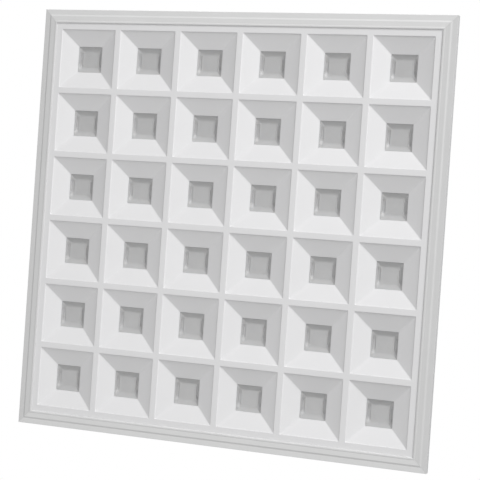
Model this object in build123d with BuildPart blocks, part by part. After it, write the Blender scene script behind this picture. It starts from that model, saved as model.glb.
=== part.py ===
from build123d import *
import math
import os

# Recessed square-cell louvre light for a 600 mm grid ceiling, as installed: the lit face looks down at z = 0
# and +Z points up into the ceiling void. X and Y lie in the ceiling plane, with the origin at the centre.
# All sizes are in millimetres.

os.makedirs("parts", exist_ok=True)

# Overall size
panel_side = 595.0  # outside of the frame, for a 600 mm ceiling module
half_side = panel_side / 2

# Frame rail section, measured inward from the outer edge and up from the lowest face
seat_band = 8.2  # outer band that lies on the ceiling grid
seat_height = 1.3  # how far the seat stands back from the lowest face
step_run = 0.6
band_height = 0.4  # middle band above the lowest face
bead_start = 16.2
bead_run = 0.4
face_width = 19.0
lip_thickness = 1.5
frame_wall = 1.3
frame_wall_height = 10.0
channel_floor = 2.7
rib_outer = 9.8  # screw rib, from its outer to its inner face
rib_inner = 13.6
rib_top = 9.0
mitre_gap = 0.12
wall_top = seat_height + frame_wall_height

# Corner keys that join the rails
key_clearance = 0.15
key_leg = 38.0
key_height = 5.6
grub_radius = 2.0
grub_setback = 28.0  # grub screw from the outer corner
grub_length = 4.5

# Louvre: rows of square cells with a vertical rim, sloped walls and a straight neck
cells_per_side = 6
grid_inset = 23.9  # from the frame's outer edge to the first cell's share of the grid
cell_rib = 9.1  # between neighbouring mouths
cell_aperture = 36.3
cell_depth = 10.2
mouth_rim = 1.0
mouth_chamfer = 0.35
neck_length = 7.5
louvre_wall = 1.4
louvre_clearance = 0.3
louvre_face_z = lip_thickness
louvre_half = half_side - rib_inner - louvre_clearance
cell_pitch = (panel_side - 2 * grid_inset) / cells_per_side
cell_mouth = cell_pitch - cell_rib
aperture_z = louvre_face_z + cell_depth
neck_top = aperture_z + neck_length

# Opal lens strips, with one insert in each cell's neck: a dish with a thin rim and two pockets
lens_plate = 1.5
lens_overhang = 2.9  # past the aperture on each side
lens_corner = 6.0
insert_clearance = 0.1
insert_corner = 1.5
insert_height = 7.1
insert_rim = 0.3
dish_depth = 3.6
dish_run = 4.0  # of its sloped sides
dish_round = 4.0
dish_skin = 1.5  # lens left behind the dish
core_inset = 6.5  # of the recess behind the dish
pocket_width = 4.2
pocket_length = 19.2
pocket_inset = 1.25  # from the insert's side
pocket_skin = 3.7  # lens left behind each pocket

# Back pan
sheet = 0.8
pan_flange_gap = 0.3
pan_foot_inset = 17.0  # foot of the pan's slope from the frame's outer edge
pan_back_inset = 48.0
pan_depth = 22.8
pan_corner = 14.0
bead_inset = 107.5  # from the frame's outer edge to the end of each bead
bead_width = 12.0
bead_height = 1.6
bead_taper = 40.0
bead_rows = (-2.25, -0.25, 0.25, 1.25, 2.25)  # in cell pitches from the centre
bead_length = panel_side - 2 * bead_inset
pan_back = rib_top + pan_depth
pan_inside = pan_back - sheet

# Small screws that hold the pan to the frame
pan_screw_inset = 87.5  # outer screws from the frame's corner
pan_screw_radius = 1.3
pan_screw_length = 6.5
pan_screw_head = 2.8
pan_screw_head_height = 1.4
screw_clearance = 0.1
pan_screw_offsets = (pan_screw_inset - half_side, 0.0, half_side - pan_screw_inset)
driver_bit = 0.9  # half width of the square recess in each screw head
drive_share = 0.6  # depth of the recess over the height of the head
screw_head_taper = 15.0

# Light-emitting boards
board_width = 20.0
board_overhang = 16.0
board_thickness = 1.2
led_side = 5.0
led_height = 0.7
led_taper = 8.0
board_screw_radius = 1.25
board_screw_head = 2.6
board_screw_head_height = 1.5
connector_length = 10.0
connector_width = 7.0
connector_height = 4.0
jumper_radius = 0.7
jumper_spacing = 2.6

# Nylon posts that press the louvre down on its seams
post_columns = (-1, 1)  # in cell pitches from the centre
post_foot_radius = 1.5
post_radius = 4.0
post_foot_height = 1.4
post_screw_radius = 1.5
post_screw_depth = 9.0
post_screw_head = 3.4
post_screw_head_height = 1.8

# Wiring box on the back of the pan
box_length = 340.0
box_post_gap = 2.2  # between the box's walls and the heads of the post screws beside them
box_height = 34.0
box_row = -1.5  # cell pitches from the panel's centre to the box's
box_rivet_inset = 12.0  # from the box's ends and long walls
rivet_radius = 1.6
rivet_head = 3.2
rivet_head_height = 1.0
rivet_dome_taper = 35.0
rivet_clearance = 0.05
turning_clearance = 0.3  # round a rivet, pin or shank on which a piece turns
cover_lift = 0.2
cover_skirt = 3.0
cover_gap = 0.4
hinge_reach = 3.2  # hinge axis from the box's wall
hinge_radius = 2.4
hinge_pin_radius = 1.1
hinge_barrel = 22.0
hinge_gap = 0.4
hinge_inset = 55.0  # from the box's ends to the middle of each hinge
hinge_centres = (hinge_inset - box_length / 2, box_length / 2 - hinge_inset)
box_foot = 6.0  # along the box's floor, from each end plate
box_centre_y = box_row * cell_pitch
box_width = cell_pitch - 2 * (post_screw_head + box_post_gap)
box_floor = pan_back + sheet
box_rim = pan_back + box_height
box_front = box_centre_y + box_width / 2
box_back = box_centre_y - box_width / 2
cover_underside = box_rim + cover_lift
hinge_y = box_back - hinge_reach
hinge_z = cover_underside + sheet / 2

# Captive screw in the cover
knob_radius = 5.0
knob_height = 4.5
knob_ridges = 16
knob_ridge_radius = 0.45
knob_shank_radius = 2.0
knob_shank_length = 5.0
knob_clearance = 0.12  # under the screw's head
knob_hole_clearance = 0.6
knob_slot_share = 1.4  # of the head's radius
knob_tab_length = 20.0
knob_tab_width = 10.0
knob_x = 0.0
knob_setback = 5.0  # from the inside of the box's front wall
knob_y = box_front - sheet - knob_setback

# Driver, terminal block and leads in the box
driver_length = 150.0
driver_width = 42.0
driver_height = 26.0
driver_inset = 40.0  # from the box's end to the driver's case
driver_foot = 12.0
driver_foot_thickness = 2.0
driver_screw_radius = 1.6
driver_edge = 2.0
terminal_inset = 58.0  # from the box's other end to the middle of the block
terminal_length = 20.0
terminal_width = 42.0
terminal_height = 17.0
terminal_corner = 1.0
pole_pitch = 13.0
button_length = 7.0
button_width = 6.0
button_depth = 8.0
button_travel = 1.5
button_proud = 2.2
button_chamfer = 0.5
button_clearance = 0.2
shaft_spare = 1.0  # room under a pressed button
entry_side = 3.4
entry_depth = 7.0
entry_height = 5.0
lead_radius = 1.2
lead_height = 8.0
lead_bend = 6.0
grommet_inset = 24.0  # from the box's end
grommet_offset_y = 19.0
grommet_hole = 5.0
grommet_bore = 2.6
grommet_flange = 7.0
grommet_flange_height = 1.4
supply_radius = 1.8
supply_drop = 4.2  # supply lead below the inside of the pan
supply_bend = 4.0
supply_run = 12.0  # straight run into the plug
earth_reach = 52.0  # from the terminal block's middle to the earth screw
earth_offset_y = 28.0
earth_radius = 2.0
earth_head = 4.0
earth_head_height = 2.4
earth_washer = 5.0
earth_washer_thickness = 0.8
earth_lead_run = 16.0  # straight run out of the terminal block
earth_lead_dip = 1.0
earth_lead_end = 1.4  # end of the lead above the box's floor
driver_x = box_length / 2 - driver_inset - driver_length / 2
terminal_x = terminal_inset - box_length / 2
grommet_x = box_length / 2 - grommet_inset
earth_x = terminal_x + earth_reach

# Cable gland and spare entries in the ends of the box
gland_bore = 5.0
gland_thread = 9.8
gland_hole_clearance = 0.2
gland_hex = 24.0  # across flats
gland_flange = 4.0
gland_stem = 11.0
gland_tail = 8.0
gland_nut_height = 13.0
gland_nut_clearance = 0.3
gland_nut_chamfer = 2.0
gland_turn = 30.0  # turns the hexagons' flats level with the box's floor
locknut_height = 4.5
plug_radius = 10.0
plug_cap = 12.5
plug_depth = 4.0
plug_wall = 1.4
plug_spacing = 34.0
entry_rise = 15.0  # from the pan's back to the middle of each entry
entry_z = pan_back + entry_rise

# Swing-out clips that reach over the ceiling grid's tees
tee_height = 38.0
clip_clearance = 1.8  # over the top of the tee
clip_thickness = 1.2
clip_width = 16.0
clip_reach = 68.0
clip_pivot_inset = 56.0
clip_row = 1.25  # cell pitches from the panel's centre to the pivots
clip_rise_start = 13.0  # from the pivot to the upright
clip_rivet_radius = 2.4
clip_rivet_head = 4.6
clip_gap = 0.15
clip_lip = 5.0
clip_pivot_y = clip_row * cell_pitch
clip_arm_z = seat_height + tee_height + clip_clearance

# Hanger tabs for safety wires
tab_inset = 77.5  # wire holes from the frame's outer edges
tab_row_gap = 4.0  # from the outer boards' edges to the tabs' middle line
tab_width = 15.0
tab_length = 16.0
tab_rise = 7.0
tab_thickness = 1.2
tab_hole = 2.75
tab_foot = 14.0
tab_span_x = panel_side - 2 * tab_inset
tab_span_y = (cells_per_side - 1) * cell_pitch + board_width + 2 * tab_row_gap


def keep(piece, label):
    """Name a finished piece and write it out."""
    piece.part.label = label
    export_step(piece.part, f"parts/{label}.step")


def cell_positions():
    """Centres of the cells, or of the rows, along one axis."""
    first = -(cells_per_side - 1) / 2
    return [(first + index) * cell_pitch for index in range(cells_per_side)]


def turned_plane(height, angle):
    """A level plane whose X axis is turned about the panel's centre."""
    direction = (math.cos(math.radians(angle)), math.sin(math.radians(angle)), 0)
    return Plane(origin=(0, 0, height), x_dir=direction, z_dir=(0, 0, 1))


def round_rivet(place, body_length, head_radius, body_radius):
    """A rivet or screw below a domed head that starts at the given plane."""
    with BuildSketch(place) as head:
        Circle(head_radius)
    extrude(head.sketch, amount=rivet_head_height, taper=rivet_dome_taper)
    with BuildSketch(place) as body:
        Circle(body_radius)
    extrude(body.sketch, amount=-body_length)


def recessed_screw(place, head_radius, head_height, body_radius, body_length):
    """A pan-head screw with a square drive, its head standing on the given plane."""
    with BuildSketch(place) as head:
        Circle(head_radius)
    extrude(head.sketch, amount=head_height, taper=screw_head_taper)
    with BuildSketch(place.offset(head_height)) as drive:
        Rectangle(2 * driver_bit, 2 * driver_bit)
    extrude(drive.sketch, amount=-head_height * drive_share, mode=Mode.SUBTRACT)
    with BuildSketch(place) as body:
        Circle(body_radius)
    extrude(body.sketch, amount=-body_length)


# Frame: four mitred rails of one section
rail_section = [
    (0, seat_height),
    (seat_band, seat_height),
    (seat_band + step_run, band_height),
    (bead_start, band_height),
    (bead_start + bead_run, 0),
    (face_width, 0),
    (face_width, lip_thickness),
    (rib_inner, lip_thickness),
    (rib_inner, rib_top),
    (rib_outer, rib_top),
    (rib_outer, channel_floor),
    (frame_wall, channel_floor),
    (frame_wall, wall_top),
    (0, wall_top),
]
screw_line = half_side - (rib_outer + rib_inner) / 2
for side, turn in (("left", 0), ("back", 90), ("right", 180), ("front", 270)):
    inward = Vector(math.cos(math.radians(turn)), math.sin(math.radians(turn)), 0)
    along = inward.cross(Vector(0, 0, 1))
    first_corner = inward * -half_side - along * half_side
    last_corner = inward * -half_side + along * half_side
    with BuildPart() as rail:
        with BuildSketch(Plane(origin=first_corner, x_dir=inward, z_dir=along)):
            with BuildLine():
                Polyline(*rail_section, close=True)
            make_face()
        extrude(amount=panel_side)
        with Locations(turned_plane(rib_top, turn)):
            with Locations(*[(-screw_line, offset) for offset in pan_screw_offsets]):
                Hole(pan_screw_radius + screw_clearance, depth=pan_screw_length)
        split(bisect_by=Plane(first_corner + along * (mitre_gap / 2), z_dir=along - inward))
        split(bisect_by=Plane(last_corner - along * (mitre_gap / 2), z_dir=-along - inward))
    keep(rail, f"frame_rail_{side}")

# Corner keys, one to each mitre, and the grub screws that lock them
key_near = frame_wall + key_clearance - half_side
key_far = rib_outer - key_clearance - half_side
key_end = key_leg - half_side
key_middle = (key_near + key_far) / 2
grub_spots = [(grub_setback - half_side, key_middle), (key_middle, grub_setback - half_side)]
key_top = channel_floor + key_height
with BuildPart() as corner_keys:
    for number in range(4):
        with BuildSketch(turned_plane(channel_floor, 90 * number)):
            with BuildLine():
                Polyline(
                    (key_near, key_near),
                    (key_end, key_near),
                    (key_end, key_far),
                    (key_far, key_far),
                    (key_far, key_end),
                    (key_near, key_end),
                    close=True,
                )
            make_face()
        extrude(amount=key_height)
        with Locations(turned_plane(key_top, 90 * number)):
            with Locations(*grub_spots):
                Hole(grub_radius + screw_clearance, depth=key_height)
keep(corner_keys, "corner_keys")

with BuildPart() as grub_screws:
    for number in range(4):
        with BuildSketch(turned_plane(channel_floor, 90 * number)):
            with Locations(*grub_spots):
                Circle(grub_radius)
        extrude(amount=grub_length)
        with BuildSketch(turned_plane(channel_floor + grub_length, 90 * number)):
            with Locations(*grub_spots):
                RegularPolygon(driver_bit, 6)
        extrude(amount=-grub_length / 2, mode=Mode.SUBTRACT)
keep(grub_screws, "corner_grub_screws")

# Louvre rows: a face plate with a thin-walled pyramid and neck behind each cell
slope_run = (cell_mouth - cell_aperture) / 2
slope_rise = cell_depth - mouth_rim
slope_angle = math.degrees(math.atan2(slope_run, slope_rise))  # from the vertical
shell_offset = louvre_wall / math.cos(math.radians(slope_angle))
shell_run = slope_run + shell_offset - louvre_wall
shell_rise = shell_run / math.tan(math.radians(slope_angle))
neck_outer = cell_aperture + 2 * louvre_wall
rim_z = louvre_face_z + mouth_rim
for number, row_y in enumerate(cell_positions(), start=1):
    row_low = -louvre_half if number == 1 else row_y - cell_pitch / 2
    row_high = louvre_half if number == cells_per_side else row_y + cell_pitch / 2
    with BuildPart() as row:
        with BuildSketch(Plane.XY.offset(louvre_face_z)):
            with Locations((0, (row_low + row_high) / 2)):
                Rectangle(2 * louvre_half, row_high - row_low)
        extrude(amount=louvre_wall)
        # rim that stands up to the pan's flange round the outside of the louvre
        with BuildSketch(Plane.XY.offset(louvre_face_z)):
            with Locations((0, (row_low + row_high) / 2)):
                Rectangle(2 * louvre_half, row_high - row_low)
            inner_low = row_low + louvre_wall if number == 1 else row_low
            inner_high = row_high - louvre_wall if number == cells_per_side else row_high
            with Locations((0, (inner_low + inner_high) / 2)):
                Rectangle(
                    2 * (louvre_half - louvre_wall), inner_high - inner_low, mode=Mode.SUBTRACT
                )
        extrude(amount=rib_top - louvre_face_z)
        with BuildSketch(Plane.XY.offset(rim_z)):
            with Locations((0, row_y)):
                with GridLocations(cell_pitch, 0, cells_per_side, 1):
                    Rectangle(cell_mouth + 2 * shell_offset, cell_mouth + 2 * shell_offset)
        extrude(amount=shell_rise, taper=slope_angle)
        with BuildSketch(Plane.XY.offset(aperture_z)):
            with Locations((0, row_y)):
                with GridLocations(cell_pitch, 0, cells_per_side, 1):
                    Rectangle(neck_outer, neck_outer)
        extrude(amount=neck_length)
        with BuildSketch(Plane.XY.offset(louvre_face_z)):
            with Locations((0, row_y)):
                with GridLocations(cell_pitch, 0, cells_per_side, 1):
                    Rectangle(cell_mouth, cell_mouth)
        extrude(amount=mouth_rim, mode=Mode.SUBTRACT)
        with BuildSketch(Plane.XY.offset(rim_z)):
            with Locations((0, row_y)):
                with GridLocations(cell_pitch, 0, cells_per_side, 1):
                    Rectangle(cell_mouth, cell_mouth)
        extrude(amount=slope_rise, taper=slope_angle, mode=Mode.SUBTRACT)
        with BuildSketch(Plane.XY.offset(aperture_z)):
            with Locations((0, row_y)):
                with GridLocations(cell_pitch, 0, cells_per_side, 1):
                    Rectangle(cell_aperture, cell_aperture)
        extrude(amount=neck_length, mode=Mode.SUBTRACT)
        face_edges = row.edges().group_by(Axis.Z)[0]
        mouth_edges = face_edges.filter_by(lambda edge: abs(edge.length - cell_mouth) < 0.01)
        chamfer(mouth_edges, length=mouth_chamfer)
    keep(row, f"louvre_row_{number}")

# Opal lens strips on the necks
lens_span = (cells_per_side - 1) * cell_pitch + cell_aperture + 2 * lens_overhang
lens_width = cell_aperture + 2 * lens_overhang
insert_side = cell_aperture - 2 * insert_clearance
dish_side = insert_side - 2 * insert_rim
insert_face = neck_top - insert_height
lens_back = neck_top + lens_plate
core_side = insert_side - 2 * core_inset
core_depth = lens_back - insert_face - dish_depth - dish_skin
pocket_offset = insert_side / 2 - pocket_inset - pocket_width / 2
pocket_spots = [
    cell_x + side * pocket_offset for cell_x in cell_positions() for side in (-1, 1)
]
for number, row_y in enumerate(cell_positions(), start=1):
    with BuildPart() as lens_strip:
        with BuildSketch(Plane.XY.offset(neck_top)):
            with Locations((0, row_y)):
                RectangleRounded(lens_span, lens_width, lens_corner)
        extrude(amount=lens_plate)
        with BuildSketch(Plane.XY.offset(neck_top)):
            with Locations((0, row_y)):
                with GridLocations(cell_pitch, 0, cells_per_side, 1):
                    RectangleRounded(insert_side, insert_side, insert_corner)
        extrude(amount=-insert_height)
        with BuildSketch(Plane.XY.offset(insert_face)):
            with Locations((0, row_y)):
                with GridLocations(cell_pitch, 0, cells_per_side, 1):
                    Rectangle(dish_side, dish_side)
        dish_taper = math.degrees(math.atan2(dish_run, dish_depth))
        extrude(amount=dish_depth, taper=dish_taper, mode=Mode.SUBTRACT)
        floors = lens_strip.faces().filter_by(
            lambda face: abs(face.center().Z - insert_face - dish_depth) < 0.01
        )
        fillet(floors.edges(), dish_round)
        with BuildSketch(Plane.XY.offset(insert_face)):
            with Locations(*[(pocket_x, row_y) for pocket_x in pocket_spots]):
                Rectangle(pocket_width, pocket_length)
        extrude(amount=lens_back - insert_face - pocket_skin, mode=Mode.SUBTRACT)
        with BuildSketch(Plane.XY.offset(lens_back)):
            with Locations((0, row_y)):
                with GridLocations(cell_pitch, 0, cells_per_side, 1):
                    Rectangle(core_side, core_side)
        extrude(amount=-core_depth, mode=Mode.SUBTRACT)
    keep(lens_strip, f"lens_strip_{number}")

# Back pan: flange, sloped sides, flat back and stiffening beads
flange_half = half_side - frame_wall - pan_flange_gap
foot_half = half_side - pan_foot_inset
back_half = half_side - pan_back_inset
pan_slope = math.atan2(pan_depth, pan_back_inset - pan_foot_inset)
side_skin = sheet / math.sin(pan_slope)
foot_inside = foot_half - side_skin
back_inside = foot_inside - (pan_depth - sheet) / math.tan(pan_slope)
grommet_y = box_centre_y + grommet_offset_y
bead_spots = [(0, place * cell_pitch) for place in bead_rows]
connector_x = (cells_per_side / 2 - 1) * cell_pitch
post_spots = [
    (column * cell_pitch, (row + 1) * cell_pitch - cells_per_side / 2 * cell_pitch)
    for column in post_columns
    for row in range(cells_per_side - 1)
]
board_half = (cells_per_side - 1) / 2 * cell_pitch + board_overhang
board_screw_x = (cells_per_side / 2 - 2) * cell_pitch
board_screw_spots = [
    (end * board_screw_x, row_y) for end in (-1, 1) for row_y in cell_positions()
]
box_rivet_spots = [
    (
        across * (box_length / 2 - box_rivet_inset),
        box_centre_y + along_y * (box_width / 2 - box_rivet_inset),
    )
    for across in (-1, 1)
    for along_y in (-1, 1)
]
clip_pivot_x = half_side - clip_pivot_inset
clip_spots = [(-clip_pivot_x, -clip_pivot_y), (-clip_pivot_x, clip_pivot_y)]
clip_spots += [(clip_pivot_x, clip_pivot_y), (clip_pivot_x, -clip_pivot_y)]
tab_rivet_inset = tab_length / 2 + tab_foot / 2
tab_rivet_spots = [
    (across * (tab_span_x / 2 - tab_rivet_inset), deep * tab_span_y / 2)
    for across in (-1, 1)
    for deep in (-1, 1)
]
with BuildPart() as back_pan:
    with BuildSketch(Plane.XY.offset(rib_top)):
        Rectangle(2 * flange_half, 2 * flange_half)
    extrude(amount=sheet)
    with BuildSketch(Plane.XY.offset(rib_top)):
        RectangleRounded(2 * foot_half, 2 * foot_half, pan_corner)
    with BuildSketch(Plane.XY.offset(pan_back)):
        RectangleRounded(2 * back_half, 2 * back_half, pan_corner)
    loft()
    with BuildSketch(Plane.XY.offset(rib_top)):
        RectangleRounded(2 * foot_inside, 2 * foot_inside, pan_corner - sheet)
    with BuildSketch(Plane.XY.offset(pan_inside)):
        RectangleRounded(2 * back_inside, 2 * back_inside, pan_corner - sheet)
    loft(mode=Mode.SUBTRACT)
    with BuildSketch(Plane.XY.offset(pan_back)):
        with Locations(*bead_spots):
            SlotOverall(bead_length, bead_width)
    extrude(amount=bead_height, taper=bead_taper)
    with BuildSketch(Plane.XY.offset(pan_inside)):
        with Locations(*bead_spots):
            SlotOverall(bead_length - sheet, bead_width - sheet)
    extrude(amount=bead_height, taper=bead_taper, mode=Mode.SUBTRACT)
    for turn in (0, 90, 180, 270):
        with Locations(turned_plane(rib_top + sheet, turn)):
            with Locations(*[(-screw_line, offset) for offset in pan_screw_offsets]):
                Hole(pan_screw_radius + screw_clearance, depth=2 * sheet)
    with Locations(Plane.XY.offset(pan_back)):
        with Locations(*post_spots):
            Hole(post_screw_radius + screw_clearance, depth=2 * sheet)
        with Locations(*board_screw_spots):
            Hole(board_screw_radius + screw_clearance, depth=2 * sheet)
        with Locations(*box_rivet_spots, *tab_rivet_spots):
            Hole(rivet_radius + rivet_clearance, depth=2 * sheet)
        with Locations(*clip_spots):
            Hole(clip_rivet_radius + rivet_clearance, depth=2 * sheet)
        with Locations((grommet_x, grommet_y)):
            Hole(grommet_hole, depth=2 * sheet)
keep(back_pan, "back_pan")

with BuildPart() as pan_screws:
    for turn in (0, 90, 180, 270):
        for offset in pan_screw_offsets:
            spot = turned_plane(rib_top + sheet, turn)
            place = Plane(spot.from_local_coords((-screw_line, offset, 0)), z_dir=(0, 0, 1))
            recessed_screw(
                place, pan_screw_head, pan_screw_head_height, pan_screw_radius, pan_screw_length
            )
keep(pan_screws, "pan_screws")

# Boards with their light-emitting packages, screws and plugs
board_z = pan_inside - board_thickness
for number, row_y in enumerate(cell_positions(), start=1):
    with BuildPart() as board:
        with BuildSketch(Plane.XY.offset(board_z)):
            with Locations((0, row_y)):
                Rectangle(2 * board_half, board_width)
            with Locations((-board_screw_x, row_y), (board_screw_x, row_y)):
                Circle(board_screw_radius + screw_clearance, mode=Mode.SUBTRACT)
        extrude(amount=board_thickness)
    keep(board, f"led_board_{number}")

with BuildPart() as led_packages:
    with BuildSketch(Plane.XY.offset(board_z)):
        with GridLocations(cell_pitch, cell_pitch, cells_per_side, cells_per_side):
            Rectangle(led_side, led_side)
    extrude(amount=-led_height, taper=led_taper)
keep(led_packages, "led_packages")

with BuildPart() as board_screws:
    for spot in board_screw_spots:
        place = Plane((*spot, board_z), z_dir=(0, 0, -1))
        recessed_screw(
            place,
            board_screw_head,
            board_screw_head_height,
            board_screw_radius,
            board_thickness + sheet,
        )
keep(board_screws, "board_screws")

with BuildPart() as board_connectors:
    with BuildSketch(Plane.XY.offset(board_z)):
        with Locations(*[(connector_x, row_y) for row_y in cell_positions()]):
            Rectangle(connector_width, connector_length)
    extrude(amount=-connector_height)
keep(board_connectors, "board_connectors")

jumper_z = board_z - connector_height / 2
with BuildPart() as jumper_wires:
    for row_y in cell_positions()[:-1]:
        start_y = row_y + connector_length / 2
        with BuildSketch(Plane((connector_x, start_y, jumper_z), x_dir=(1, 0, 0), z_dir=(0, 1, 0))):
            with GridLocations(jumper_spacing, 0, 2, 1):
                Circle(jumper_radius)
        extrude(amount=cell_pitch - connector_length)
keep(jumper_wires, "jumper_wires")

# Spacer posts from the pan down to the seams between the louvre's rows
post_bottom = louvre_face_z + louvre_wall
with BuildPart() as spacer_posts:
    for spot in post_spots:
        with BuildSketch(Plane((*spot, post_bottom), z_dir=(0, 0, 1))):
            Circle(post_foot_radius)
        with BuildSketch(Plane((*spot, post_bottom + post_foot_height), z_dir=(0, 0, 1))):
            Circle(post_radius)
        loft()
        with BuildSketch(Plane((*spot, post_bottom + post_foot_height), z_dir=(0, 0, 1))):
            Circle(post_radius)
        extrude(amount=pan_inside - post_bottom - post_foot_height)
    with Locations(Plane.XY.offset(pan_inside)):
        with Locations(*post_spots):
            Hole(post_screw_radius + screw_clearance, depth=post_screw_depth)
keep(spacer_posts, "spacer_posts")

with BuildPart() as post_screws:
    for spot in post_spots:
        recessed_screw(
            Plane((*spot, pan_back), z_dir=(0, 0, 1)),
            post_screw_head,
            post_screw_head_height,
            post_screw_radius,
            post_screw_depth,
        )
keep(post_screws, "post_screws")

# Wiring box: a channel of folded sheet, with two hinge barrels on its back wall
end_x = box_length / 2
with BuildPart() as wiring_box:
    with BuildSketch(Plane.XY.offset(pan_back)):
        with Locations((0, box_centre_y)):
            Rectangle(box_length, box_width)
    extrude(amount=box_height)
    with BuildSketch(Plane.XY.offset(box_floor)):
        with Locations((0, box_centre_y)):
            Rectangle(box_length, box_width - 2 * sheet)
    extrude(amount=box_height, mode=Mode.SUBTRACT)
    with BuildSketch(Plane.XY.offset(box_rim - sheet)):
        with Locations((knob_x, knob_y)):
            Rectangle(knob_tab_length, knob_tab_width)
            Circle(knob_shank_radius + knob_hole_clearance, mode=Mode.SUBTRACT)
    extrude(amount=sheet)
    # barrels on the box, with the cover's barrels between them
    for centre_x in hinge_centres:
        for shift in (-1, 1):
            barrel_x = centre_x + shift * (hinge_barrel + hinge_gap)
            with BuildSketch(Plane((barrel_x, 0, 0), x_dir=(0, 1, 0), z_dir=(1, 0, 0))):
                with Locations((hinge_y, hinge_z)):
                    Circle(hinge_radius)
                with Locations((hinge_y + hinge_reach / 2, hinge_z - hinge_radius + sheet)):
                    Rectangle(hinge_reach, 2 * sheet)
                with Locations((hinge_y, hinge_z)):
                    Circle(hinge_pin_radius + rivet_clearance, mode=Mode.SUBTRACT)
            extrude(amount=hinge_barrel / 2, both=True)
    with Locations(Plane.XY.offset(box_floor)):
        with Locations(*box_rivet_spots):
            Hole(rivet_radius + rivet_clearance, depth=2 * sheet)
        with Locations((grommet_x, grommet_y)):
            Hole(grommet_hole, depth=2 * sheet)
        with Locations((earth_x, box_centre_y + earth_offset_y)):
            Hole(earth_radius + screw_clearance, depth=sheet)
keep(wiring_box, "wiring_box")

# End plates that close the box, each with a foot spot-welded to its floor
with BuildPart() as box_ends:
    for side in (-1, 1):
        with BuildSketch(Plane.XY.offset(box_floor)):
            with Locations((side * (end_x - sheet / 2), box_centre_y)):
                Rectangle(sheet, box_width - 2 * sheet)
        extrude(amount=box_rim - box_floor)
        with BuildSketch(Plane.XY.offset(box_floor)):
            with Locations((side * (end_x - box_foot / 2), box_centre_y)):
                Rectangle(box_foot, box_width - 2 * sheet)
        extrude(amount=sheet)
    with Locations(Plane((-end_x, box_centre_y, entry_z), z_dir=(-1, 0, 0))):
        Hole(gland_thread + gland_hole_clearance, depth=2 * sheet)
    with Locations(Plane((end_x, box_centre_y, entry_z), x_dir=(0, 1, 0), z_dir=(1, 0, 0))):
        with GridLocations(plug_spacing, 0, 2, 1):
            Hole(plug_radius + gland_hole_clearance, depth=2 * sheet)
keep(box_ends, "box_ends")

# Hinged cover of the box
skirt_outer = sheet + cover_gap
cover_front = box_front + skirt_outer
cover_back = hinge_y + hinge_radius + hinge_gap
cover_end = end_x + skirt_outer
with BuildPart() as box_cover:
    with BuildSketch(Plane.XY.offset(cover_underside)):
        with Locations((0, (cover_front + cover_back) / 2)):
            Rectangle(2 * cover_end, cover_front - cover_back)
    extrude(amount=sheet)
    with BuildSketch(Plane.XY.offset(cover_underside)):
        with Locations((-cover_end + sheet / 2, box_centre_y), (cover_end - sheet / 2, box_centre_y)):
            Rectangle(sheet, box_width)
        with Locations((0, cover_front - sheet / 2)):
            Rectangle(2 * cover_end, sheet)
    extrude(amount=-cover_skirt)
    for centre_x in hinge_centres:
        with BuildSketch(Plane((centre_x, 0, 0), x_dir=(0, 1, 0), z_dir=(1, 0, 0))):
            with Locations((hinge_y, hinge_z)):
                Circle(hinge_radius)
            with Locations((hinge_y + hinge_reach / 2, hinge_z)):
                Rectangle(hinge_reach, sheet)
            with Locations((hinge_y, hinge_z)):
                Circle(hinge_pin_radius + turning_clearance, mode=Mode.SUBTRACT)
        extrude(amount=hinge_barrel / 2, both=True)
    with Locations(Plane.XY.offset(cover_underside + sheet)):
        with Locations((knob_x, knob_y)):
            Hole(knob_shank_radius + turning_clearance, depth=2 * sheet)
keep(box_cover, "box_cover")

pin_half = 1.5 * hinge_barrel + hinge_gap
with BuildPart() as hinge_pins:
    for centre_x in hinge_centres:
        with BuildSketch(Plane((centre_x, hinge_y, hinge_z), z_dir=(1, 0, 0))):
            Circle(hinge_pin_radius)
        extrude(amount=pin_half + sheet, both=True)
        for shift in (-1, 1):
            head_x = centre_x + shift * (pin_half + hinge_gap)
            with BuildSketch(Plane((head_x, hinge_y, hinge_z), z_dir=(shift, 0, 0))):
                Circle(hinge_radius - hinge_gap)
            extrude(amount=sheet)
keep(hinge_pins, "hinge_pins")

# Captive screw with a ridged head, held in the cover by a collar
cover_top = cover_underside + sheet
with BuildPart() as cover_screw:
    with BuildSketch(Plane((knob_x, knob_y, cover_top + knob_clearance), z_dir=(0, 0, 1))):
        Circle(knob_radius)
        with PolarLocations(knob_radius, knob_ridges):
            Circle(knob_ridge_radius, mode=Mode.SUBTRACT)
    extrude(amount=knob_height)
    with BuildSketch(Plane((knob_x, knob_y, cover_top + knob_height), z_dir=(0, 0, 1))):
        Rectangle(knob_radius * knob_slot_share, 2 * driver_bit)
    extrude(amount=knob_height, mode=Mode.SUBTRACT)
    with BuildSketch(Plane((knob_x, knob_y, cover_top + knob_clearance), z_dir=(0, 0, 1))):
        Circle(knob_shank_radius)
    extrude(amount=-(sheet + knob_shank_length))
keep(cover_screw, "cover_screw")

# Rivets that hold the box and the hanger tabs
with BuildPart() as box_rivets:
    for spot in box_rivet_spots:
        round_rivet(Plane((*spot, box_floor), z_dir=(0, 0, 1)), 3 * sheet, rivet_head, rivet_radius)
keep(box_rivets, "box_rivets")

with BuildPart() as tab_rivets:
    for spot in tab_rivet_spots:
        place = Plane((*spot, pan_back + tab_thickness), z_dir=(0, 0, 1))
        round_rivet(place, tab_thickness + 2 * sheet, rivet_head, rivet_radius)
keep(tab_rivets, "tab_rivets")

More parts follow.
